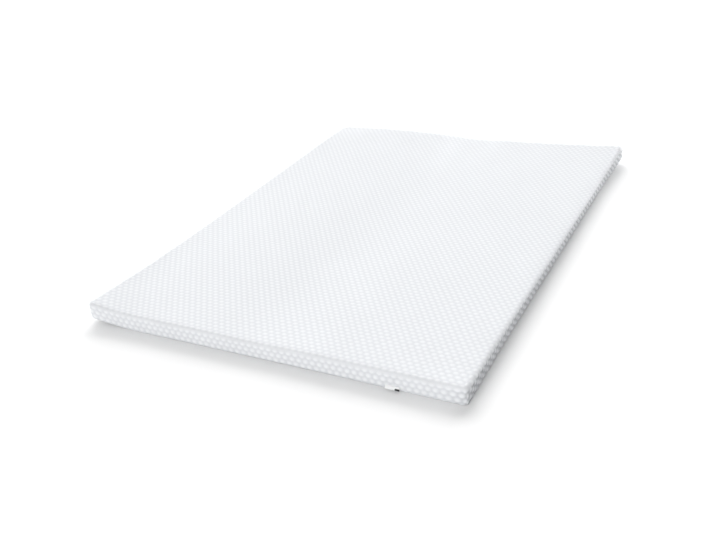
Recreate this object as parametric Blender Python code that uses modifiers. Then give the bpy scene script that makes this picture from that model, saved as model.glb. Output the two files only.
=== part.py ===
# A foam mattress topper in a knitted cover, lying on its underside.
# It is one filled pad, flat below, with rounded edges, a slightly uneven top and
# corners that still lift from having been rolled up. A small folded tab hangs from
# the seam low on the front side. The origin is the middle of the underside.
# X runs across the bed, Y runs from the front edge to the back edge, Z is up.

import math

import bmesh
import bpy

# Driving dimensions, in metres.
padWidth = 1.40
padLength = 2.00
padThickness = 0.060
topRound = 0.013          # radius where the top turns into the sides
lowRound = 0.007          # radius where the sides turn under

tabLength = 0.047         # along the front edge
tabDepth = 0.014          # from the seam to its folded end
tabThickness = 0.0010
tabPlace = 0.4650         # how far right of the middle the tab's own middle is
tabSeamHeight = 0.0165    # of the seam that it hangs from
tabBendShare = 0.45       # of its depth, where it turns down
tabEndSlope = 68          # degrees below level, past the bend
touchGap = 0.0003         # between two pieces that touch

# The four corners: which end of each side, and the radius seen from above.
corners = [
    {"sideX": -1, "sideY": -1, "round": 0.018},
    {"sideX": 1, "sideY": -1, "round": 0.016},
    {"sideX": 1, "sideY": 1, "round": 0.018},
    {"sideX": -1, "sideY": 1, "round": 0.045},
]

# Corners that lift, with how far in along each edge the lift reaches.
cornerLifts = [
    {"sideX": -1, "sideY": -1, "lift": 0.018, "reachX": 0.21, "reachY": 0.74},
    {"sideX": 1, "sideY": 1, "lift": 0.018, "reachX": 0.58, "reachY": 0.48},
]

# Corners that are pulled out of square, out or in along each direction.
cornerPulls = [
    {"sideX": 1, "sideY": 1, "outX": 0.008, "outY": 0.005, "reach": 0.35},
    {"sideX": -1, "sideY": 1, "outX": 0.0, "outY": -0.018, "reach": 0.42},
    {"sideX": 1, "sideY": -1, "outX": 0.0, "outY": 0.006, "reach": 0.60},
]

# Soft swells (up) and hollows (down) of the top, where the foam lies unevenly.
topSwells = [
    {"x": -0.02, "y": -0.45, "rise": -0.0045, "reachX": 0.26, "reachY": 1.10},
    {"x": 0.10, "y": 0.90, "rise": -0.0040, "reachX": 0.40, "reachY": 0.90},
    {"x": 0.02, "y": 1.00, "rise": -0.0070, "reachX": 0.16, "reachY": 0.30},
    {"x": -0.70, "y": 1.00, "rise": -0.0070, "reachX": 0.22, "reachY": 0.22},
    {"x": -0.70, "y": -0.10, "rise": -0.0035, "reachX": 0.30, "reachY": 1.00},
    {"x": 0.32, "y": -0.20, "rise": 0.0015, "reachX": 0.45, "reachY": 0.90},
    {"x": -0.35, "y": -0.30, "rise": 0.0015, "reachX": 0.40, "reachY": 0.90},
]

# How far the middle of each side is drawn in, and how far its lower edge goes under.
sideDraws = {"left": 0.004, "right": 0.0, "front": -0.0015, "back": 0.009}
sideTucks = {"left": 0.003, "right": 0.010, "front": 0.0, "back": 0.003}

# Fineness of the solids.
gridStep = 0.064          # between the pad's cuts, both ways
cornerSteps = 5
topSteps = 4
lowSteps = 4
sideLevels = [0.022, 0.032]


def smoothFade(distance):
    # 1 at no distance, falling smoothly to exactly 0 at a distance of 1
    if distance >= 1:
        return 0.0
    return (1 - distance * distance) ** 2


def liftAt(x, y):
    # How far the whole pad stands off the surface at this place
    total = 0.0
    for corner in cornerLifts:
        inward = abs(x - corner["sideX"] * padWidth / 2) / corner["reachX"]
        inward += abs(y - corner["sideY"] * padLength / 2) / corner["reachY"]
        if inward < 1:
            total += corner["lift"] * (1 - inward) ** 2
    return total


def pullAt(x, y):
    # How far the pulled corners take this place along
    shiftX, shiftY = 0.0, 0.0
    for corner in cornerPulls:
        across = x - corner["sideX"] * padWidth / 2
        along = y - corner["sideY"] * padLength / 2
        share = smoothFade(math.hypot(across, along) / corner["reach"])
        shiftX += share * corner["outX"] * corner["sideX"]
        shiftY += share * corner["outY"] * corner["sideY"]
    return shiftX, shiftY


def swellAt(x, y):
    total = 0.0
    for swell in topSwells:
        across = (x - swell["x"]) / swell["reachX"]
        along = (y - swell["y"]) / swell["reachY"]
        total += swell["rise"] * smoothFade(math.hypot(across, along))
    return total


def settle(point):
    # Moves a point of the plain slab to its place in the pad as it lies
    x, y, z = point
    across = x / (padWidth / 2)
    along = y / (padLength / 2)
    sideX = "right" if across > 0 else "left"
    sideY = "back" if along > 0 else "front"
    height = z / padThickness
    drawX = sideDraws[sideX] * (1 - along ** 2) + sideTucks[sideX] * (1 - along ** 4) * (1 - height)
    drawY = sideDraws[sideY] * (1 - across ** 2) + sideTucks[sideY] * (1 - across ** 4) * (1 - height)
    shiftX, shiftY = pullAt(x, y)
    return (
        x - drawX * across * abs(across) + shiftX,
        y - drawY * along * abs(along) + shiftY,
        z + liftAt(x, y) + height * height * swellAt(x, y),
    )


def cutsBetween(half, margin):
    # Evenly spaced places that stay clear of the rounded ends
    reach = half - margin
    count = math.ceil(2 * reach / gridStep)
    return [-reach + 2 * reach * i / count for i in range(count + 1)]


def cutAlong(mesh, axis, places):
    # Cuts the mesh straight through at each place, square to the axis
    normal = [0, 0, 0]
    normal[axis] = 1
    for place in places:
        spot = [0, 0, 0]
        spot[axis] = place
        everything = mesh.verts[:] + mesh.edges[:] + mesh.faces[:]
        bmesh.ops.bisect_plane(mesh, geom=everything, plane_co=spot, plane_no=normal, dist=1e-6)


def roundOver(mesh, edges, radius, steps):
    bmesh.ops.bevel(
        mesh, geom=edges, offset=radius, offset_type="OFFSET",
        segments=steps, profile=0.5, affect="EDGES",
    )


def cornerEdge(mesh, corner):
    # The upright edge at one corner of the slab
    x = corner["sideX"] * padWidth / 2
    y = corner["sideY"] * padLength / 2
    for edge in mesh.edges:
        if all(math.hypot(v.co.x - x, v.co.y - y) < 1e-5 for v in edge.verts):
            return edge


def rimEdges(mesh, level):
    return [e for e in mesh.edges if all(abs(v.co.z - level) < 1e-5 for v in e.verts)]


def plainMaterial(name, colour, roughness):
    material = bpy.data.materials.new(name)
    material.use_nodes = True
    surface = material.node_tree.nodes["Principled BSDF"]
    surface.inputs["Base Color"].default_value = (*colour, 1)
    surface.inputs["Roughness"].default_value = roughness
    surface.inputs["Metallic"].default_value = 0.0
    return material


def addPiece(collection, name, mesh, material):
    data = bpy.data.meshes.new(name)
    mesh.to_mesh(data)
    mesh.free()
    data.materials.append(material)
    data.shade_smooth()
    piece = bpy.data.objects.new(name, data)
    collection.objects.link(piece)
    return piece


def addPad(collection):
    mesh = bmesh.new()
    bmesh.ops.create_cube(mesh, size=1)
    bmesh.ops.scale(mesh, vec=(padWidth, padLength, padThickness), verts=mesh.verts)
    bmesh.ops.translate(mesh, vec=(0, 0, padThickness / 2), verts=mesh.verts)
    for corner in corners:
        roundOver(mesh, [cornerEdge(mesh, corner)], corner["round"], cornerSteps)
    roundOver(mesh, rimEdges(mesh, padThickness), topRound, topSteps)
    roundOver(mesh, rimEdges(mesh, 0), lowRound, lowSteps)
    widest = max(corner["round"] for corner in corners)
    cutAlong(mesh, 0, cutsBetween(padWidth / 2, widest))
    cutAlong(mesh, 1, cutsBetween(padLength / 2, widest))
    cutAlong(mesh, 2, sideLevels)
    for vertex in mesh.verts:
        vertex.co = settle(vertex.co)
    knit = plainMaterial("knit_cover", (0.86, 0.88, 0.91), 0.9)
    return addPiece(collection, "topper_pad", mesh, knit)


def addTab(collection):
    # It leaves the side square to it and bends down to hang over the lower edge.
    # The bend is followed in short steps from the seam to the folded end.
    steps = 8
    path = [(-padLength / 2 - touchGap, tabSeamHeight)]
    for i in range(steps):
        turned = min((i + 0.5) / steps / tabBendShare, 1)
        slope = math.radians(tabEndSlope) * turned
        y, z = path[-1]
        path.append((y - tabDepth / steps * math.cos(slope), z - tabDepth / steps * math.sin(slope)))
    mesh = bmesh.new()
    bmesh.ops.create_grid(mesh, x_segments=8, y_segments=steps, size=0.5)
    for vertex in mesh.verts:
        row = round((0.5 - vertex.co.y) * steps)
        y, z = path[row]
        vertex.co = settle((tabPlace + vertex.co.x * tabLength, y, z))
    bmesh.ops.recalc_face_normals(mesh, faces=mesh.faces)
    tape = plainMaterial("tab_tape", (0.88, 0.88, 0.88), 0.7)
    tab = addPiece(collection, "seam_tab", mesh, tape)
    thicken = tab.modifiers.new("thickness", "SOLIDIFY")
    thicken.thickness = tabThickness
    thicken.offset = 0
    return tab


for leftover in list(bpy.data.objects):
    bpy.data.objects.remove(leftover)

topper = bpy.data.collections.new("mattress_topper")
bpy.context.scene.collection.children.link(topper)
addPad(topper)
addTab(topper)
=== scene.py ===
# The looks of a foam mattress topper in a white knitted cover.
# The cover's raised knit, the plain underside and the small folded tab at the front are made here.

import math

import bpy
import numpy as np
from mathutils import Matrix, Vector


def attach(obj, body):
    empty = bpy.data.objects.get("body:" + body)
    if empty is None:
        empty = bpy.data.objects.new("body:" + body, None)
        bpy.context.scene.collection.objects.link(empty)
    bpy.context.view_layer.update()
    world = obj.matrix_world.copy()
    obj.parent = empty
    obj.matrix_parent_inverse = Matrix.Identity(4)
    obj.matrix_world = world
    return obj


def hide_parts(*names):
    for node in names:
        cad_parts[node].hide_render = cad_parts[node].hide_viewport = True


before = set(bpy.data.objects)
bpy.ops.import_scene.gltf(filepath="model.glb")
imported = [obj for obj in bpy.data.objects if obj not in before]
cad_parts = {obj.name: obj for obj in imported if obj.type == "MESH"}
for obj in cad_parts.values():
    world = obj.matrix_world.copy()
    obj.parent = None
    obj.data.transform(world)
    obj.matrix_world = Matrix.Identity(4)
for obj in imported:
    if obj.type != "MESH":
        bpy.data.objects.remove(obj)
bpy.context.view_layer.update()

print("topper: frame loaded")


# Camera, at the photograph's angle

photoCamera = {
    "place": (1.466, -3.032, 1.587),
    "azimuth": 28.22,       # degrees round from the front
    "elevation": 27.51,     # degrees above level
    "roll": -4.45,
    "lens": 46.4,           # millimetres, on film this wide
    "filmWidth": 36.0,
    "farthest": 200,        # metres, nothing past this is drawn
}


def addCamera():
    data = bpy.data.cameras.new("photoCamera")
    data.sensor_width = photoCamera["filmWidth"]
    data.lens = photoCamera["lens"]
    data.clip_end = photoCamera["farthest"]
    camera = bpy.data.objects.new("photoCamera", data)
    bpy.context.scene.collection.objects.link(camera)
    turn = Matrix.Rotation(math.radians(photoCamera["azimuth"]), 4, "Z")
    tip = Matrix.Rotation(math.radians(90 - photoCamera["elevation"]), 4, "X")
    roll = Matrix.Rotation(math.radians(photoCamera["roll"]), 4, "Z")
    camera.matrix_world = Matrix.Translation(photoCamera["place"]) @ turn @ tip @ roll
    bpy.context.scene.camera = camera


addCamera()
print("topper: camera placed")


# Nodes are joined with these few calls, and laid out in columns and rows

nodeGrid = {"columnWidth": 190, "rowHeight": -170, "surfaceColumn": 13, "outputColumn": 15}


def addNode(tree, kind, column, row, **settings):
    node = tree.nodes.new(kind)
    node.location = (column * nodeGrid["columnWidth"], row * nodeGrid["rowHeight"])
    for setting, value in settings.items():
        setattr(node, setting, value)
    return node


def feed(tree, target, source):
    # A socket is joined, and a number or colour is set
    if isinstance(source, bpy.types.NodeSocket):
        tree.links.new(source, target)
    else:
        target.default_value = source


def addMath(tree, operation, first, second, column, row):
    node = addNode(tree, "ShaderNodeMath", column, row, operation=operation)
    feed(tree, node.inputs[0], first)
    if second is not None:
        feed(tree, node.inputs[1], second)
    return node.outputs[0]


def addBlend(tree, amount, low, high, column, row):
    # Mixes two colours by an amount from 0 to 1
    node = addNode(tree, "ShaderNodeMix", column, row, data_type="RGBA")
    feed(tree, node.inputs["Factor"], amount)
    feed(tree, node.inputs["A"], low)
    feed(tree, node.inputs["B"], high)
    return node.outputs["Result"]


def addRange(tree, value, low, high, outLow, outHigh, column, row):
    node = addNode(tree, "ShaderNodeMapRange", column, row)
    feed(tree, node.inputs["Value"], value)
    node.inputs["From Min"].default_value = low
    node.inputs["From Max"].default_value = high
    node.inputs["To Min"].default_value = outLow
    node.inputs["To Max"].default_value = outHigh
    return node.outputs[0]


def addNoise(tree, vector, size, detail, column, row):
    # size is how big the blotches are, in metres
    node = addNode(tree, "ShaderNodeTexNoise", column, row)
    feed(tree, node.inputs["Vector"], vector)
    node.inputs["Scale"].default_value = 1 / size
    node.inputs["Detail"].default_value = detail
    return node.outputs[0]


def newMaterial(name):
    material = bpy.data.materials.new(name)
    material.use_nodes = True
    surface = material.node_tree.nodes["Principled BSDF"]
    output = material.node_tree.nodes["Material Output"]
    surface.location.x = nodeGrid["surfaceColumn"] * nodeGrid["columnWidth"]
    output.location.x = nodeGrid["outputColumn"] * nodeGrid["columnWidth"]
    return material, material.node_tree, surface


def addBump(tree, surface, height, column, row):
    # height is in metres
    bump = addNode(tree, "ShaderNodeBump", column, row)
    bump.inputs["Distance"].default_value = 1.0
    tree.links.new(height, bump.inputs["Height"])
    tree.links.new(bump.outputs[0], surface.inputs["Normal"])


# Studio floor and light

studio = {
    "floorSize": 60.0,
    "floorColour": (0.90, 0.90, 0.90),
    "floorRoughness": 0.9,
    "floorMottle": 0.995,     # how much darker its darker blotches are
    "floorBlotch": 0.6,       # metres
    "skyColour": (0.985, 0.995, 1.0),
    "skyStrength": 0.15,
    "skyShown": 1.0,          # where the sky itself is seen, as white as the floor
    # Wide soft lamps: where each stands round the object and above level, in degrees
    "lamps": [
        {"name": "backLamp", "azimuth": 202, "elevation": 17, "width": 60, "strength": 4.2},
        {"name": "leftLamp", "azimuth": 225, "elevation": 30, "width": 60, "strength": 1.75},
        {"name": "frontLamp", "azimuth": 0, "elevation": 21, "width": 60, "strength": 2.38},
        {"name": "topLamp", "azimuth": 0, "elevation": 90, "width": 60, "strength": 0.43},
    ],
    # A low strip of light that rakes along the right side
    "panel": {
        "place": (1.15, 3.6, 0.035), "aim": (0.7, -0.2, 0.035),
        "across": 0.5, "high": 0.05, "power": 340,
    },
}


def addFloor():
    half = studio["floorSize"] / 2
    corners = [(-half, -half, 0), (half, -half, 0), (half, half, 0), (-half, half, 0)]
    data = bpy.data.meshes.new("studioFloor")
    data.from_pydata(corners, [], [(0, 1, 2, 3)])
    floor = bpy.data.objects.new("studioFloor", data)
    bpy.context.scene.collection.objects.link(floor)
    material, tree, surface = newMaterial("palePaper")
    place = addNode(tree, "ShaderNodeTexCoord", 0, 0).outputs["Object"]
    mottle = addNoise(tree, place, studio["floorBlotch"], 2, 1, 0)
    darker = tuple(c * studio["floorMottle"] for c in studio["floorColour"])
    colour = addBlend(tree, mottle, (*darker, 1), (*studio["floorColour"], 1), 2, 0)
    tree.links.new(colour, surface.inputs["Base Color"])
    surface.inputs["Roughness"].default_value = studio["floorRoughness"]
    surface.inputs["Specular IOR Level"].default_value = 0.0
    data.materials.append(material)


def addLamp(facts):
    data = bpy.data.lights.new(facts["name"], "SUN")
    data.energy = facts["strength"]
    data.angle = math.radians(facts["width"])
    lamp = bpy.data.objects.new(facts["name"], data)
    bpy.context.scene.collection.objects.link(lamp)
    turn = Matrix.Rotation(math.radians(facts["azimuth"]), 4, "Z")
    tip = Matrix.Rotation(math.radians(90 - facts["elevation"]), 4, "X")
    lamp.matrix_world = turn @ tip


def addPanel(facts):
    data = bpy.data.lights.new("rakingPanel", "AREA")
    data.shape = "RECTANGLE"
    data.size = facts["across"]
    data.size_y = facts["high"]
    data.energy = facts["power"]
    panel = bpy.data.objects.new("rakingPanel", data)
    panel.visible_camera = False
    bpy.context.scene.collection.objects.link(panel)
    towards = Vector(facts["aim"]) - Vector(facts["place"])
    turn = towards.to_track_quat("-Z", "Y").to_matrix().to_4x4()
    panel.matrix_world = Matrix.Translation(facts["place"]) @ turn


def addSky():
    world = bpy.data.worlds.new("studioSky")
    bpy.context.scene.world = world
    world.use_nodes = True
    sky = world.node_tree.nodes["Background"]
    sky.inputs["Color"].default_value = (*studio["skyColour"], 1)
    seen = addNode(world.node_tree, "ShaderNodeLightPath", -2, 0).outputs["Is Camera Ray"]
    strength = addRange(
        world.node_tree, seen, 0.0, 1.0, studio["skyStrength"], studio["skyShown"], -1, 0
    )
    world.node_tree.links.new(strength, sky.inputs["Strength"])


def setFilm():
    # Whites stay white, as on the photograph's plain background
    film = bpy.context.scene.view_settings
    film.view_transform = "Standard"
    film.look = "None"
    film.exposure = 0.0
    film.gamma = 1.0


setFilm()
addFloor()
for lampFacts in studio["lamps"]:
    addLamp(lampFacts)
addPanel(studio["panel"])
addSky()
print("topper: floor and light set")


# The pad's form, as the solid's, but with a longer dip at the back

padForm = {
    "width": 1.40,
    "length": 2.00,
    "thickness": 0.060,
    # Radius of each corner, seen from above
    "cornerRounds": {"frontLeft": 0.018, "frontRight": 0.016, "backRight": 0.018, "backLeft": 0.045},
    "topRound": 0.013,        # where the top turns into the sides
    "lowRound": 0.007,        # where the sides turn under
    # Corners that lift, with how far in along each edge the lift reaches
    "cornerLifts": [
        {"sideX": -1, "sideY": -1, "lift": 0.018, "reachX": 0.21, "reachY": 0.74},
        {"sideX": 1, "sideY": 1, "lift": 0.018, "reachX": 0.58, "reachY": 0.48},
    ],
    # Corners that are pulled out of square, out or in along each direction
    "cornerPulls": [
        {"sideX": 1, "sideY": 1, "outX": 0.008, "outY": 0.005, "reach": 0.35},
        {"sideX": -1, "sideY": 1, "outX": 0.0, "outY": -0.018, "reach": 0.42},
        {"sideX": 1, "sideY": -1, "outX": 0.0, "outY": 0.006, "reach": 0.60},
    ],
    # Soft swells (up) and hollows (down) of the top
    "topSwells": [
        {"x": -0.02, "y": -0.45, "rise": -0.0045, "reachX": 0.26, "reachY": 1.10},
        {"x": 0.10, "y": 0.90, "rise": -0.0040, "reachX": 0.40, "reachY": 0.90},
        {"x": 0.02, "y": 1.00, "rise": -0.0070, "reachX": 0.16, "reachY": 0.60},
        {"x": -0.70, "y": 1.00, "rise": -0.0070, "reachX": 0.22, "reachY": 0.22},
        {"x": -0.70, "y": -0.10, "rise": -0.0035, "reachX": 0.30, "reachY": 1.00},
        {"x": 0.32, "y": -0.20, "rise": 0.0015, "reachX": 0.45, "reachY": 0.90},
        {"x": -0.35, "y": -0.30, "rise": 0.0015, "reachX": 0.40, "reachY": 0.90},
    ],
    # How far the middle of each side is drawn in, and how far its lower edge goes under
    "sideDraws": {"left": 0.004, "right": 0.0, "front": -0.0015, "back": 0.009},
    "sideTucks": {"left": 0.003, "right": 0.010, "front": 0.0, "back": 0.003},
}


def settle(points):
    # Moves points of the plain slab to their places in the pad as it lies
    x, y, z = points[:, 0], points[:, 1], points[:, 2]
    halfWidth = padForm["width"] / 2
    halfLength = padForm["length"] / 2
    across = x / halfWidth
    along = y / halfLength
    height = z / padForm["thickness"]
    lift = np.zeros(len(points))
    for corner in padForm["cornerLifts"]:
        inward = abs(x - corner["sideX"] * halfWidth) / corner["reachX"]
        inward += abs(y - corner["sideY"] * halfLength) / corner["reachY"]
        lift += corner["lift"] * np.clip(1 - inward, 0, 1) ** 2
    swell = np.zeros(len(points))
    for part in padForm["topSwells"]:
        far = np.hypot((x - part["x"]) / part["reachX"], (y - part["y"]) / part["reachY"])
        swell += part["rise"] * np.clip(1 - far * far, 0, 1) ** 2
    draws, tucks = padForm["sideDraws"], padForm["sideTucks"]
    drawX = np.where(across > 0, draws["right"], draws["left"]) * (1 - along ** 2)
    drawX += np.where(across > 0, tucks["right"], tucks["left"]) * (1 - along ** 4) * (1 - height)
    drawY = np.where(along > 0, draws["back"], draws["front"]) * (1 - across ** 2)
    drawY += np.where(along > 0, tucks["back"], tucks["front"]) * (1 - across ** 4) * (1 - height)
    moved = points.copy()
    moved[:, 0] = x - drawX * across * abs(across)
    moved[:, 1] = y - drawY * along * abs(along)
    moved[:, 2] = z + lift + height * height * swell
    for corner in padForm["cornerPulls"]:
        farX = x - corner["sideX"] * halfWidth
        farY = y - corner["sideY"] * halfLength
        share = np.clip(1 - (np.hypot(farX, farY) / corner["reach"]) ** 2, 0, 1) ** 2
        moved[:, 0] += share * corner["outX"] * corner["sideX"]
        moved[:, 1] += share * corner["outY"] * corner["sideY"]
    return moved


# The knit's raised spots lie in rows along the front edge, each row half a spot over.
# Distances on the cloth are taken across (p) and along (q) the top, and run on down the sides.

knit = {
    "spotsAcross": 57,
    "rowsAlong": 112,
    "pointsPerSpot": 4,       # mesh points to one spot, across
    "pointsPerRow": 3,        # mesh points to one row
    "cornerPoints": 12,       # mesh points used to turn half a corner
    "puff": 0.0014,           # from a groove to the top of a spot, on the stretched top
    # The same on the sides, where the cloth is looser, and how much painted shade darkens each side's
    # grooves (the right side stands in shade)
    "sidePuffs": {"front": 0.0036, "right": 0.0050, "back": 0.0042, "left": 0.0042},
    "sideGrooveShades": {"front": 0.1, "right": 1.0, "back": 0.4, "left": 0.4},
    "rimStretch": 0.9,        # how far the cloth is pulled smooth over the top rounding
    "rimCalm": 0.5,           # share of the puff that such a pull takes away
    "puffMiddle": 0.5,        # share of the puff that stands inside the pad's form
    "plumpness": 1.6,         # higher gives broader spots and narrower grooves
    "wavesHigh": 3.0,         # the three crossing waves add up to this on a spot
    "wavesLow": -1.5,         # and to this in the deepest groove
    "drift": 0.0012,          # how far the rows wander
    "cornerCrease": 0.0012,   # how deep the cloth is drawn in down each corner
    "creaseReach": 2.5,       # mesh points that the crease reaches to each side
    "creaseStart": 3,         # side level where it is at its full depth
    "sideLevels": 13,
    "seamTuck": 0.0012,       # how far the cloth turns in at the lower seam
    "bakeMargin": 1.01,
}


def cornerRun(boxLength, innerRound, outerRound):
    # Half a corner, from the straight side to the corner's middle:
    # how far along, how far in from the side, and how far the outward direction turns
    straight = boxLength - innerRound
    run = np.linspace(0, straight + outerRound * math.pi / 4, knit["cornerPoints"] + 1)
    turn = np.clip(run - straight, 0, None) / outerRound
    along = np.where(turn > 0, straight + innerRound * np.sin(turn), run)
    return along, innerRound * (1 - np.cos(turn)), turn


def sideTurns(count, firstRun, lastRun):
    # How far the outward direction turns at each point of one side, from corner to corner
    points = knit["cornerPoints"]
    turns = np.zeros(count + 1)
    turns[:points + 1] = -firstRun[2][::-1]
    turns[-points - 1:] = lastRun[2]
    return turns


def planGrid(halfX, halfY, countX, countY, inset):
    # A flat rectangle with rounded corners as a grid, with its rim in order from the
    # front left corner, and the outward direction at each point of the rim.
    # The inset is how far this rim lies inside the pad's own outline.
    points = knit["cornerPoints"]
    boxX = 2 * halfX / countX * points
    boxY = 2 * halfY / countY * points
    lowX, lowY = halfX - boxX, halfY - boxY
    x, y = np.meshgrid(
        np.linspace(-halfX, halfX, countX + 1), np.linspace(-halfY, halfY, countY + 1), indexing="ij"
    )
    share = np.arange(points + 1) / points
    u, v = np.meshgrid(share, share, indexing="ij")
    runs = {}
    for corner, outerRound in padForm["cornerRounds"].items():
        runX = cornerRun(boxX, outerRound - inset, outerRound)
        runY = cornerRun(boxY, outerRound - inset, outerRound)
        runs[corner] = (runX, runY)
        # The corner's box is filled in between its two straight and two curved edges
        rimX, rimY = halfX - runY[1][None, :], lowY + runY[0][None, :]
        backX, backY = lowX + runX[0][:, None], halfY - runX[1][:, None]
        tipX, tipY = backX[-1, 0], rimY[0, -1]
        cornerX = (1 - u) * lowX + u * rimX + (1 - v) * (lowX + u * boxX) + v * backX
        cornerX -= (1 - u) * lowX + u * (1 - v) * halfX + u * v * tipX
        cornerY = (1 - u) * (lowY + v * boxY) + u * rimY + (1 - v) * lowY + v * backY
        cornerY -= (1 - v) * lowY + (1 - u) * v * halfY + u * v * tipY
        atRight, atBack = corner.endswith("Right"), corner.startswith("back")
        i = np.arange(countX - points, countX + 1)
        j = np.arange(countY - points, countY + 1)
        i = i if atRight else countX - i
        j = j if atBack else countY - j
        x[np.ix_(i, j)] = cornerX if atRight else -cornerX
        y[np.ix_(i, j)] = cornerY if atBack else -cornerY
    plan = np.stack([x, y], axis=-1)
    index = np.arange((countX + 1) * (countY + 1)).reshape(countX + 1, countY + 1)
    rim = np.concatenate([index[:-1, 0], index[-1, :-1], index[:0:-1, -1], index[0, :0:-1]])
    front = sideTurns(countX, runs["frontLeft"][0], runs["frontRight"][0])[:-1]
    right = sideTurns(countY, runs["frontRight"][1], runs["backRight"][1])[:-1]
    back = sideTurns(countX, runs["backLeft"][0], runs["backRight"][0])[:0:-1]
    left = sideTurns(countY, runs["frontLeft"][1], runs["backLeft"][1])[:0:-1]
    outX = np.concatenate([np.sin(front), np.cos(right), np.sin(back), -np.cos(left)])
    outY = np.concatenate([-np.cos(front), np.sin(right), np.cos(back), np.sin(left)])
    return plan.reshape(-1, 2), index, rim, np.stack([outX, outY], axis=-1)


def sideProfile(levels):
    # How far out, how high and which way the cloth faces at each level down the side
    form = padForm
    topArc = form["topRound"] * math.pi / 2
    lowArc = form["lowRound"] * math.pi / 2
    wall = form["thickness"] - form["topRound"] - form["lowRound"]
    path = np.linspace(0, topArc + wall + lowArc, levels + 1)
    topTurn = np.clip(path / form["topRound"], 0, math.pi / 2)
    drop = np.clip(path - topArc, 0, wall)
    lowTurn = np.clip((path - topArc - wall) / form["lowRound"], 0, math.pi / 2)
    out = form["topRound"] * np.sin(topTurn) - form["lowRound"] * (1 - np.cos(lowTurn))
    high = form["thickness"] - form["topRound"] * (1 - np.cos(topTurn))
    high -= drop + form["lowRound"] * np.sin(lowTurn)
    return path, out, high, topTurn + lowTurn


def drifted(p, q):
    # The rows aren't quite straight on the stretched cloth. The waves are in radians per metre.
    reach = knit["drift"]
    movedP = p + reach * (np.sin(5.1 * q + 1.3 * np.sin(3.7 * p)) + 0.5 * np.sin(11 * p + 2))
    movedQ = q + reach * (np.sin(6.3 * p + 0.8) + 0.6 * np.sin(9.7 * q + 4.1 * p))
    return movedP, movedQ


def spotHeight(p, q, spotWidth, rowStep):
    # 1 on top of a raised spot and 0 in the grooves between spots
    acrossWave = 2 * math.pi * p / spotWidth
    rowWave = math.pi * q / rowStep
    total = np.cos(acrossWave + rowWave) + np.cos(acrossWave - rowWave) + np.cos(2 * rowWave)
    groove = (knit["wavesHigh"] - total) / (knit["wavesHigh"] - knit["wavesLow"])
    return 1 - np.clip(groove, 0, 1) ** knit["plumpness"]


def meshFrom(name, points, faces, maps, material):
    data = bpy.data.meshes.new(name)
    data.from_pydata(points.tolist(), [], faces.tolist())
    for mapName, places in maps.items():
        layer = data.uv_layers.new(name=mapName)
        layer.data.foreach_set("uv", places.reshape(-1).astype(np.float32))
    data.materials.append(material)
    data.shade_smooth()
    piece = bpy.data.objects.new(name, data)
    bpy.context.scene.collection.objects.link(piece)
    return piece


def gridFaces(index):
    corners = [index[:-1, :-1], index[1:, :-1], index[1:, 1:], index[:-1, 1:]]
    return np.stack([c.reshape(-1) for c in corners], axis=-1)


def aroundRim(perSide, sideOf):
    # A value for each side, eased into the next side's round each corner
    values = np.array([perSide[side] for side in ("front", "right", "back", "left")])[sideOf]
    ease = np.hanning(2 * knit["cornerPoints"] + 1)
    padded = np.concatenate([values[-len(ease):], values, values[:len(ease)]])
    return np.convolve(padded, ease / ease.sum(), "same")[len(ease):-len(ease)]


# The foam presses the cover out from inside. A coarse copy of the cover is simulated,
# and the fine one moves along with it before its knit is raised.

coverPress = {
    "levels": [0, 2, 4, 6, 8, 10, 12, 13],   # of the side's levels
    "pressure": 4.0,
    "frames": 20,
    "quality": 5,
    "mass": 0.3,
    "tension": 15.0,
    "shear": 5.0,
    "bending": 0.5,
    "topHold": 0.7,           # how firmly the cloth on top stays on the foam
    "share": 0.25,            # of the movement is kept, because the foam holds its own edge
    "most": 0.003,            # the farthest that any point moves
}


def addPressing(piece, held):
    cloth = piece.modifiers.new("pressing", "CLOTH")
    rules = cloth.settings
    rules.quality = coverPress["quality"]
    rules.mass = coverPress["mass"]
    rules.tension_stiffness = coverPress["tension"]
    rules.compression_stiffness = coverPress["tension"]
    rules.shear_stiffness = coverPress["shear"]
    rules.bending_stiffness = coverPress["bending"]
    rules.use_pressure = True
    rules.uniform_pressure_force = coverPress["pressure"]
    rules.effector_weights.gravity = 0.0
    rules.vertex_group_mass = held.name
    cloth.collision_settings.use_collision = False


def between(values, places):
    # Values read at places between whole steps
    low = np.minimum(np.floor(places).astype(int), len(values) - 2)
    share = (places - low).reshape(-1, *[1] * (values.ndim - 1))
    return values[low] * (1 - share) + values[low + 1] * share


def simulatePress(points, faces, rim, lowest, onTop):
    # Where the coarse cover's points are after the pressing
    data = bpy.data.meshes.new("pressedCover")
    data.from_pydata(points.tolist(), [], faces)
    piece = bpy.data.objects.new("pressedCover", data)
    bpy.context.scene.collection.objects.link(piece)
    held = piece.vertex_groups.new(name="held")
    held.add(lowest.tolist(), 1.0, "REPLACE")
    held.add(np.setdiff1d(onTop, rim).tolist(), coverPress["topHold"], "REPLACE")
    addPressing(piece, held)
    for moment in range(1, coverPress["frames"] + 1):
        bpy.context.scene.frame_set(moment)
    shown = piece.evaluated_get(bpy.context.evaluated_depsgraph_get())
    after = np.empty(len(points) * 3)
    shown.to_mesh().vertices.foreach_get("co", after)
    shown.to_mesh_clear()
    bpy.context.scene.frame_set(1)
    bpy.data.objects.remove(piece)
    bpy.data.meshes.remove(data)
    return after.reshape(-1, 3)


def spreadOnTop(moved, counts, steps):
    moved = between(moved, np.arange(counts[0] + 1) / steps[0]).swapaxes(0, 1)
    return between(moved, np.arange(counts[1] + 1) / steps[1]).swapaxes(0, 1)


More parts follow.
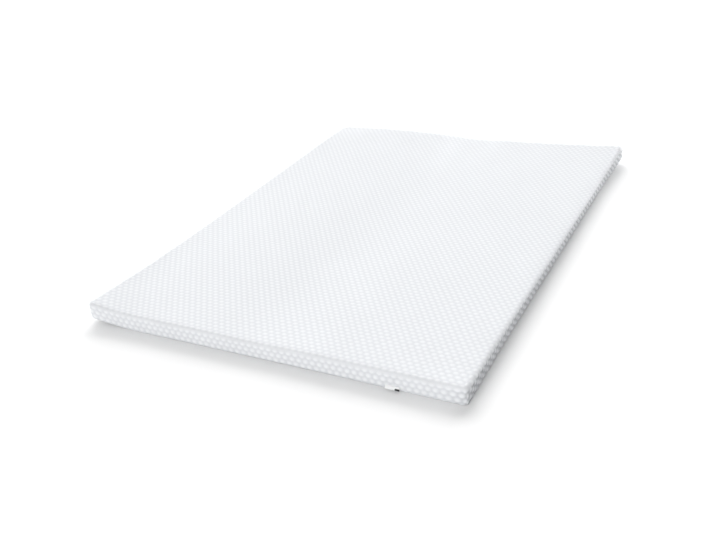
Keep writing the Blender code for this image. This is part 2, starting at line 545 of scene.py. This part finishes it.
def spreadOnSides(moved, keep, rimLength, levels):
    moved = between(moved, np.interp(np.arange(levels), coverPress["levels"], np.arange(len(moved))))
    moved = moved.swapaxes(0, 1)
    places = np.interp(np.arange(rimLength), np.append(keep, rimLength), np.arange(len(keep) + 1))
    return between(np.concatenate([moved, moved[:1]]), places).swapaxes(0, 1)


def pressCover(plan, index, rim, out, outward, high):
    # How far each point of the top and of each side level moves
    steps = (knit["pointsPerSpot"], knit["pointsPerRow"])
    counts = (index.shape[0] - 1, index.shape[1] - 1)
    starts = np.cumsum([0, counts[0], counts[1], counts[0]])
    keep = np.concatenate([
        start + np.arange(0, count, step) for start, count, step in zip(starts, counts * 2, steps * 2)
    ])
    coarse = index[::steps[0], ::steps[1]]
    top = plan[coarse.reshape(-1)]
    order = np.zeros(len(plan), dtype=int)
    order[coarse.reshape(-1)] = np.arange(len(top))
    points = [np.column_stack([top, np.full(len(top), padForm["thickness"])])]
    rings = [order[rim[keep]]]
    for level in coverPress["levels"][1:]:
        rings.append(len(top) + (len(rings) - 1) * len(keep) + np.arange(len(keep)))
        ring = plan[rim[keep]] + out[keep] * outward[level]
        points.append(np.column_stack([ring, np.full(len(keep), high[level])]))
    points = settle(np.concatenate(points))
    faces = gridFaces(order[coarse]).tolist()
    for upper, lower in zip(rings[:-1], rings[1:]):
        faces += np.column_stack([lower, np.roll(lower, -1), np.roll(upper, -1), upper]).tolist()
    faces.append(rings[-1][::-1].tolist())

    after = simulatePress(points, faces, rings[0], rings[-1], np.arange(len(top)))
    moved = (after - points) * coverPress["share"]
    length = np.linalg.norm(moved, axis=1)
    moved *= np.minimum(1, coverPress["most"] / np.maximum(length, 1e-9))[:, None]
    onTop = spreadOnTop(moved[:len(top)].reshape(*coarse.shape, 3), counts, steps)
    onSides = spreadOnSides(np.stack([moved[ring] for ring in rings]), keep, len(rim), len(high))
    print("topper: cover pressed out,", round(1000 * length.max(), 2), "mm at most")
    return np.concatenate([onTop.reshape(-1, 3), onSides[1:].reshape(-1, 3)])


def coverFaces(index, rim, flat, downP, downQ, levelPath):
    # The faces of the top and sides, with each one's places on the cloth
    topFaces = gridFaces(index)
    faces = [topFaces]
    places = [flat[topFaces]]
    startPlace = flat[rim]
    # A side's last column ends on the next side's first point, so its place is taken from this side
    endPlace = np.roll(startPlace, -1, axis=0)
    away = np.column_stack([downP, downQ]).astype(float)
    upper = rim
    for level in range(knit["sideLevels"] + 1):
        lower = len(flat) + level * len(rim) + np.arange(len(rim))
        faces.append(np.column_stack([lower, np.roll(lower, -1), np.roll(upper, -1), upper]))
        nearWay, farWay = away * levelPath[level], away * levelPath[level + 1]
        corners = [startPlace + farWay, endPlace + farWay, endPlace + nearWay, startPlace + nearWay]
        places.append(np.stack(corners, axis=1))
        upper = lower
    return np.concatenate(faces), np.concatenate(places)


def addCover(material, spotWidth, rowStep):
    countX = knit["spotsAcross"] * knit["pointsPerSpot"]
    countY = knit["rowsAlong"] * knit["pointsPerRow"]
    halfX = padForm["width"] / 2 - padForm["topRound"]
    halfY = padForm["length"] / 2 - padForm["topRound"]
    plan, index, rim, out = planGrid(halfX, halfY, countX, countY, padForm["topRound"])
    clothP, clothQ = np.meshgrid(
        np.linspace(-halfX, halfX, countX + 1), np.linspace(-halfY, halfY, countY + 1), indexing="ij"
    )
    clothP, clothQ = clothP.reshape(-1), clothQ.reshape(-1)

    # The top
    points = [np.column_stack([plan, np.full(len(plan), padForm["thickness"])])]
    facing = [np.tile([0.0, 0.0, 1.0], (len(plan), 1))]
    layP, layQ = [clothP], [clothQ]
    rise = [np.full(len(plan), knit["puff"])]
    grooveShade = [np.zeros(len(plan))]
    crease = [np.zeros(len(plan))]

    # Which side each rim point belongs to, and how near it is to a corner
    sideOf = np.repeat([0, 1, 2, 3], [countX, countY, countX, countY])
    stepsIn = np.concatenate([np.arange(n) for n in (countX, countY, countX, countY)])
    sideLength = np.where(sideOf % 2 == 0, countX, countY)
    cornerSteps = np.minimum(stepsIn, sideLength - stepsIn)
    nearCorner = np.clip(1 - cornerSteps / knit["creaseReach"], 0, 1)
    nearCorner = nearCorner * nearCorner * (3 - 2 * nearCorner)
    downP = np.array([0, 1, 0, -1])[sideOf]
    downQ = np.array([-1, 0, 1, 0])[sideOf]
    sidePuff = aroundRim(knit["sidePuffs"], sideOf)
    # Painted shade for the side grooves, eased round each corner
    sideGrooveShade = aroundRim(knit["sideGrooveShades"], sideOf)

    # The sides, level by level
    path, outward, high, lean = sideProfile(knit["sideLevels"])
    lowStart = path[-1] - padForm["lowRound"] * math.pi / 2
    for level in range(1, knit["sideLevels"] + 1):
        ring = plan[rim] + out * outward[level]
        points.append(np.column_stack([ring, np.full(len(ring), high[level])]))
        sideways = out * math.sin(lean[level])
        facing.append(np.column_stack([sideways, np.full(len(ring), math.cos(lean[level]))]))
        layP.append(clothP[rim] + downP * path[level])
        layQ.append(clothQ[rim] + downQ * path[level])
        drawn = min(level / knit["creaseStart"], 1) * nearCorner
        fade = 1 - max(path[level] - lowStart, 0) / (path[-1] - lowStart)
        loose = min(path[level] / (padForm["topRound"] * math.pi / 2), 1)
        stretched = knit["rimStretch"] * math.sin(math.pi * loose) ** 2
        puff = knit["puff"] + (sidePuff - knit["puff"]) * loose
        rise.append(puff * fade * (1 - drawn) * (1 - knit["rimCalm"] * stretched))
        # Painted shade in the side grooves grows down the top rounding, and is taken out, making the
        # grooves paler, where the cloth is stretched over it
        grooveShade.append(sideGrooveShade * loose - stretched)
        crease.append(fade * drawn)
    points, facing = np.concatenate(points), np.concatenate(facing)
    layP, layQ = np.concatenate(layP), np.concatenate(layQ)
    rise, crease = np.concatenate(rise), np.concatenate(crease)
    driftP, driftQ = drifted(layP, layQ)
    spots = spotHeight(driftP, driftQ, spotWidth, rowStep)
    relief = rise * (spots - knit["puffMiddle"]) - crease * knit["cornerCrease"]
    points = settle(points)
    points += pressCover(plan, index, rim, out, outward, high)
    points += facing * relief[:, None]

    # The cloth turns in and up where it is sewn to the underside
    lastRing = points[-len(rim):]
    tucked = lastRing.copy()
    tucked[:, :2] -= out * knit["seamTuck"] / 2
    tucked[:, 2] += knit["seamTuck"]
    points = np.concatenate([points, tucked])
    grooveShade.append(sideGrooveShade)

    levelPath = list(path) + [path[-1] + knit["seamTuck"]]
    faces, places = coverFaces(index, rim, np.column_stack([clothP, clothQ]), downP, downQ, levelPath)
    layPlaces = np.stack(drifted(places[..., 0], places[..., 1]), axis=-1)
    span = 2 * (halfY + levelPath[-1]) * knit["bakeMargin"]
    bakePlaces = places / span + 0.5
    piece = meshFrom(
        "knitCover", points, faces, {"OFBake": bakePlaces, "knitLay": layPlaces}, material
    )
    # The painted shade of the grooves is kept on the mesh for the material
    layer = piece.data.attributes.new("grooveShade", "FLOAT", "POINT")
    layer.data.foreach_set("value", np.concatenate(grooveShade).astype(np.float32))
    print("topper: cover knitted,", len(faces), "faces")
    return piece


# How the cover's cloth looks

knitCloth = {
    "spotColour": (0.765, 0.776, 0.793),
    # Grooves are greyer than the spots: partly the yarn's own tone, partly painted shade in the recesses
    "grooveColour": (0.658, 0.670, 0.694),
    "shadedGrooveColour": (0.400, 0.410, 0.430),   # painted shade: the sides' grooves, darkest on the right side, which stands in shade
    "roughness": 0.95,
    "sheen": 0.04,
    "sheenRoughness": 0.5,
    "shine": 0.06,
    "mottle": 0.012,           # how much the yarn's tone varies
    "spotBump": 0.0003,        # what the shading adds to the raised spots, in metres
    "stitchWidth": 0.0014,
    "stitchHeight": 0.0011,
    "stitchBump": 0.00007,
    "stitchLean": 1.2,         # radians that each loop leans over
    "blotchSize": 0.25,
    "yarnSize": 0.004,
    "roughnessVary": 0.04,
}


def addKnitMaterial(name, finish, spotWidth, rowStep):
    material, tree, surface = newMaterial(name)
    lay = addNode(tree, "ShaderNodeUVMap", 0, 0, uv_map="knitLay").outputs[0]
    split = addNode(tree, "ShaderNodeSeparateXYZ", 1, 0)
    tree.links.new(lay, split.inputs[0])
    p, q = split.outputs["X"], split.outputs["Y"]

    # Raised spots, from three waves that cross
    acrossWave = addMath(tree, "MULTIPLY", p, 2 * math.pi / spotWidth, 2, 0)
    rowWave = addMath(tree, "MULTIPLY", q, math.pi / rowStep, 2, 1)
    leanLeft = addMath(tree, "COSINE", addMath(tree, "ADD", acrossWave, rowWave, 3, 0), None, 4, 0)
    leanRight = addMath(tree, "COSINE", addMath(tree, "SUBTRACT", acrossWave, rowWave, 3, 1), None, 4, 1)
    rows = addMath(tree, "COSINE", addMath(tree, "MULTIPLY", rowWave, 2.0, 3, 2), None, 4, 2)
    total = addMath(tree, "ADD", addMath(tree, "ADD", leanLeft, leanRight, 5, 0), rows, 6, 0)
    depth = addRange(tree, total, knit["wavesHigh"], knit["wavesLow"], 0.0, 1.0, 7, 0)
    spot = addMath(tree, "SUBTRACT", 1.0, addMath(tree, "POWER", depth, knit["plumpness"], 8, 0), 9, 0)

    # Small loops of yarn, each a leaning pair
    waleTurn = addMath(tree, "MULTIPLY", p, 2 * math.pi / finish["stitchWidth"], 2, 4)
    wale = addMath(tree, "COSINE", waleTurn, None, 3, 4)
    fromWale = addMath(tree, "ABSOLUTE", wale, None, 4, 4)
    lean = addMath(tree, "MULTIPLY", fromWale, finish["stitchLean"], 5, 4)
    courseTurn = addMath(tree, "MULTIPLY", q, 2 * math.pi / finish["stitchHeight"], 4, 5)
    course = addMath(tree, "COSINE", addMath(tree, "ADD", courseTurn, lean, 6, 4), None, 7, 4)
    loop = addMath(tree, "MULTIPLY", addMath(tree, "ADD", wale, course, 8, 4), 0.5, 9, 4)

    # Tone: the yarn varies a little. Grooves are greyer, partly the yarn's own tone and partly painted
    # shade in the recesses; the sides' grooves carry more painted shade, most on the right side, and over
    # the top rounding the grooves take the spots' colour
    cloth = addNode(tree, "ShaderNodeTexCoord", 0, 7).outputs["Object"]
    blotch = addNoise(tree, cloth, finish["blotchSize"], 3, 1, 7)
    yarn = addNoise(tree, cloth, finish["yarnSize"], 2, 1, 8)
    vary = addMath(tree, "ADD", blotch, yarn, 2, 7)
    tone = addRange(tree, vary, 0.5, 1.5, 1 - finish["mottle"], 1 + finish["mottle"], 3, 7)
    # Painted shade darkens the side grooves; below zero it pales the grooves toward the spots' colour
    grooveShade = addNode(tree, "ShaderNodeAttribute", 8, 3, attribute_name="grooveShade").outputs["Fac"]
    shadedGroove = addBlend(tree, grooveShade, (*finish["grooveColour"], 1), (*finish["shadedGrooveColour"], 1), 9, 3)
    stretch = addMath(tree, "MULTIPLY", grooveShade, -1.0, 9, 4)
    groove = addBlend(tree, stretch, shadedGroove, (*finish["spotColour"], 1), 10, 3)
    base = addBlend(tree, spot, groove, (*finish["spotColour"], 1), 10, 2)
    toned = addNode(tree, "ShaderNodeVectorMath", 11, 2, operation="SCALE")
    tree.links.new(base, toned.inputs[0])
    tree.links.new(tone, toned.inputs["Scale"])
    tree.links.new(toned.outputs[0], surface.inputs["Base Color"])

    smoother = finish["roughness"] - finish["roughnessVary"]
    rougher = finish["roughness"] + finish["roughnessVary"]
    tree.links.new(addRange(tree, yarn, 0.3, 0.7, smoother, rougher, 10, 5), surface.inputs["Roughness"])
    raised = addMath(tree, "MULTIPLY", spot, finish["spotBump"], 10, 0)
    loops = addMath(tree, "MULTIPLY", loop, finish["stitchBump"], 10, 1)
    height = addMath(tree, "ADD", raised, loops, 11, 0)
    addBump(tree, surface, height, 12, 0)
    surface.inputs["Sheen Weight"].default_value = finish["sheen"]
    surface.inputs["Sheen Roughness"].default_value = finish["sheenRoughness"]
    surface.inputs["Specular IOR Level"].default_value = finish["shine"]
    return material


# The underside, a plain knitted panel that nothing in the photograph shows

underPanel = {
    "squaresAcross": 70,
    "squaresAlong": 100,
    "seamGap": 0.0016,        # from the cover's lower edge to the panel's flat part
    "seamRise": 0.0008,
    "clothColour": (0.78, 0.79, 0.81),
    "roughness": 0.92,
    "ribWidth": 0.004,
    "ribBump": 0.00025,
    "loopShare": 0.35,        # of the rib's height, for the loops across it
    "blotchSize": 0.2,
    "mottle": 0.96,
    "sheen": 0.1,
    "skirtOut": 0.45,         # share of the seam's gap that the turned-up rim reaches out
}


def addUnderMaterial():
    material, tree, surface = newMaterial("underKnit")
    place = addNode(tree, "ShaderNodeTexCoord", 0, 0).outputs["Object"]
    split = addNode(tree, "ShaderNodeSeparateXYZ", 1, 0)
    tree.links.new(place, split.inputs[0])
    ribTurn = addMath(tree, "MULTIPLY", split.outputs["X"], 2 * math.pi / underPanel["ribWidth"], 2, 0)
    rib = addMath(tree, "COSINE", ribTurn, None, 3, 0)
    loopTurn = addMath(tree, "MULTIPLY", split.outputs["Y"], 4 * math.pi / underPanel["ribWidth"], 2, 1)
    loop = addMath(tree, "COSINE", loopTurn, None, 3, 1)
    weave = addMath(tree, "ADD", rib, addMath(tree, "MULTIPLY", loop, underPanel["loopShare"], 4, 1), 5, 0)
    height = addMath(tree, "MULTIPLY", weave, underPanel["ribBump"], 6, 0)
    addBump(tree, surface, height, 7, 0)
    blotch = addNoise(tree, place, underPanel["blotchSize"], 3, 1, 3)
    colour = underPanel["clothColour"]
    darker = tuple(c * underPanel["mottle"] for c in colour)
    base = addBlend(tree, blotch, (*darker, 1), (*colour, 1), 4, 3)
    tree.links.new(base, surface.inputs["Base Color"])
    surface.inputs["Roughness"].default_value = underPanel["roughness"]
    surface.inputs["Sheen Weight"].default_value = underPanel["sheen"]
    return material


def addUnderside(material):
    countX, countY = underPanel["squaresAcross"], underPanel["squaresAlong"]
    inset = padForm["lowRound"] + underPanel["seamGap"]
    halfX = padForm["width"] / 2 - inset
    halfY = padForm["length"] / 2 - inset
    plan, index, rim, out = planGrid(halfX, halfY, countX, countY, inset)
    flat = np.column_stack([plan, np.zeros(len(plan))])
    # The rim turns up into the seam, just inside the cover's own edge
    turned = flat[rim].copy()
    turned[:, :2] += out * underPanel["seamGap"] * underPanel["skirtOut"]
    turned[:, 2] += underPanel["seamRise"]
    points = settle(np.concatenate([flat, turned]))
    faces = gridFaces(index)[:, ::-1]
    edge = len(flat) + np.arange(len(rim))
    skirt = np.column_stack([rim, np.roll(rim, -1), np.roll(edge, -1), edge])
    faces = np.concatenate([faces, skirt])
    flatPlaces = points[:, :2] / padForm["length"] + 0.5
    piece = meshFrom("underPanel", points, faces, {"OFBake": flatPlaces[faces]}, material)
    print("topper: underside made,", len(faces), "faces")
    return piece


# The tab is a short folded tape that hangs from the seam low on the front side

foldedTab = {
    "length": 0.047,
    "depth": 0.014,
    "place": 0.4650,          # how far right of the middle the tab's own middle is
    "seamHeight": 0.0165,
    "bendShare": 0.45,        # of its depth, where it turns down
    "endSlope": 68,           # degrees below level, past the bend
    "tapeThickness": 0.00034,
    "layerGap": 0.00022,
    "touchGap": 0.0003,
    "darkLength": 0.0150,     # of its right end
    "darkDepth": 0.0065,      # of the woven band there, up from the fold
    "stepsAcross": 48,
    "stepsAlong": 16,
    "foldSteps": 6,
    "rippleHeight": 0.00012,  # of the tape's own waviness
    "rippleTurn": 210,        # radians per metre along the tape
    "whiteColour": (0.86, 0.865, 0.87),
    "darkColour": (0.018, 0.018, 0.02),
    "roughness": 0.62,
    "threadWidth": 0.00055,
    "threadBump": 0.00006,
    "threadShade": 0.88,      # painted shade between the threads, as a share of the colour
    "sheen": 0.05,
}


def addTapeMaterial(name, colour):
    material, tree, surface = newMaterial(name)
    lay = addNode(tree, "ShaderNodeUVMap", 0, 0, uv_map="tapeLay").outputs[0]
    split = addNode(tree, "ShaderNodeSeparateXYZ", 1, 0)
    tree.links.new(lay, split.inputs[0])
    thread = 2 * math.pi / foldedTab["threadWidth"]
    warp = addMath(tree, "COSINE", addMath(tree, "MULTIPLY", split.outputs["X"], thread, 2, 0), None, 3, 0)
    weft = addMath(tree, "COSINE", addMath(tree, "MULTIPLY", split.outputs["Y"], thread, 2, 1), None, 3, 1)
    weave = addMath(tree, "MULTIPLY", warp, weft, 4, 0)
    height = addMath(tree, "MULTIPLY", weave, foldedTab["threadBump"], 5, 0)
    addBump(tree, surface, height, 6, 0)
    # Painted shade: the colour darkens where the weave is low, between the threads
    shade = addRange(tree, weave, -1.0, 1.0, 0.0, 1.0, 5, 2)
    darker = tuple(c * foldedTab["threadShade"] for c in colour)
    base = addBlend(tree, shade, (*darker, 1), (*colour, 1), 6, 2)
    tree.links.new(base, surface.inputs["Base Color"])
    surface.inputs["Roughness"].default_value = foldedTab["roughness"]
    surface.inputs["Sheen Weight"].default_value = foldedTab["sheen"]
    return material


def tabPath():
    # Middle line of the folded tape, from the seam down to the fold and back up behind itself
    steps = foldedTab["stepsAlong"]
    y = -padForm["length"] / 2 - foldedTab["touchGap"]
    z = foldedTab["seamHeight"]
    end = math.radians(foldedTab["endSlope"])
    apart = (foldedTab["tapeThickness"] + foldedTab["layerGap"]) / 2
    run = foldedTab["depth"] - apart - foldedTab["tapeThickness"] / 2
    middle, across = [], []
    for step in range(steps + 1):
        slope = end * min(step / steps / foldedTab["bendShare"], 1)
        middle.append((y, z))
        across.append((-math.sin(slope), math.cos(slope)))
        y -= run / steps * math.cos(slope)
        z -= run / steps * math.sin(slope)
    middle, across = np.array(middle), np.array(across)
    upper = middle + across * apart
    lower = (middle - across * apart)[::-1]
    # Half a turn round the fold
    endAcross = across[-1]
    endAlong = np.array([-math.cos(end), -math.sin(end)])
    bend = [
        middle[-1] + apart * (endAcross * math.cos(t) + endAlong * math.sin(t))
        for t in np.linspace(0, math.pi, foldedTab["foldSteps"] + 1)[1:-1]
    ]
    return np.concatenate([upper, bend, lower])


def addTab(white, dark):
    line = tabPath()
    ahead = np.gradient(line, axis=0)
    ahead /= np.linalg.norm(ahead, axis=1)[:, None]
    side = np.column_stack([-ahead[:, 1], ahead[:, 0]]) * foldedTab["tapeThickness"] / 2
    walked = np.concatenate([[0], np.cumsum(np.linalg.norm(np.diff(line, axis=0), axis=1))])
    darkFrom = foldedTab["length"] / 2 - foldedTab["darkLength"]
    stations = np.linspace(-0.5, 0.5, foldedTab["stepsAcross"] + 1) * foldedTab["length"]
    stations[np.argmin(abs(stations - darkFrom))] = darkFrom
    # A closed strip: down one face of the tape and back up the other, at each station across
    outline = np.concatenate([line + side, (line - side)[::-1]])
    outlineWalk = np.concatenate([walked, walked[::-1]])
    count = len(outline)
    nearFold = abs(outlineWalk - walked[-1] / 2) < foldedTab["darkDepth"]
    points, lay = [], []
    for station in stations:
        ripple = foldedTab["rippleHeight"] * math.sin(station * foldedTab["rippleTurn"])
        height = outline[:, 1] + ripple * outlineWalk / walked[-1]
        across = np.full(count, foldedTab["place"] + station)
        points.append(np.column_stack([across, outline[:, 0], height]))
        lay.append(np.column_stack([np.full(count, station), outlineWalk]))
    points, lay = np.concatenate(points), np.concatenate(lay)
    points = settle(points)
    loops = np.arange(len(points)).reshape(len(stations), count)
    faces, darkFace = [], []
    for i in range(len(stations) - 1):
        here, there = loops[i], loops[i + 1]
        for j in range(count):
            k = (j + 1) % count
            faces.append((here[j], there[j], there[k], here[k]))
            darkFace.append(stations[i] >= darkFrom - 1e-6 and nearFold[j] and nearFold[k])
    # The cut ends are closed across the tape's thickness
    for loop, isDark, flip in ((loops[0], False, False), (loops[-1], True, True)):
        for j in range(len(line) - 1):
            ring = (loop[j], loop[j + 1], loop[count - 2 - j], loop[count - 1 - j])
            faces.append(ring[::-1] if flip else ring)
            darkFace.append(isDark and nearFold[j] and nearFold[j + 1])
    faces = np.array(faces)
    piece = meshFrom("foldedTab", points, faces, {"tapeLay": lay[faces]}, white)
    piece.data.materials.append(dark)
    piece.data.polygons.foreach_set("material_index", np.array(darkFace, dtype=np.int32))
    print("topper: tab folded,", len(faces), "faces")
    return piece


spotSize = (
    2 * (padForm["width"] / 2 - padForm["topRound"]) / knit["spotsAcross"],
    2 * (padForm["length"] / 2 - padForm["topRound"]) / knit["rowsAlong"],
)
cover = addCover(addKnitMaterial("knitCoverCloth", knitCloth, *spotSize), *spotSize)
underside = addUnderside(addUnderMaterial())
tab = addTab(
    addTapeMaterial("whiteTape", foldedTab["whiteColour"]),
    addTapeMaterial("darkTape", foldedTab["darkColour"]),
)

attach(cover, "root")
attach(underside, "root")
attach(tab, "root")
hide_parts("topper_pad")
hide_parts("topper_pad")
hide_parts("seam_tab")

print("topper: done")
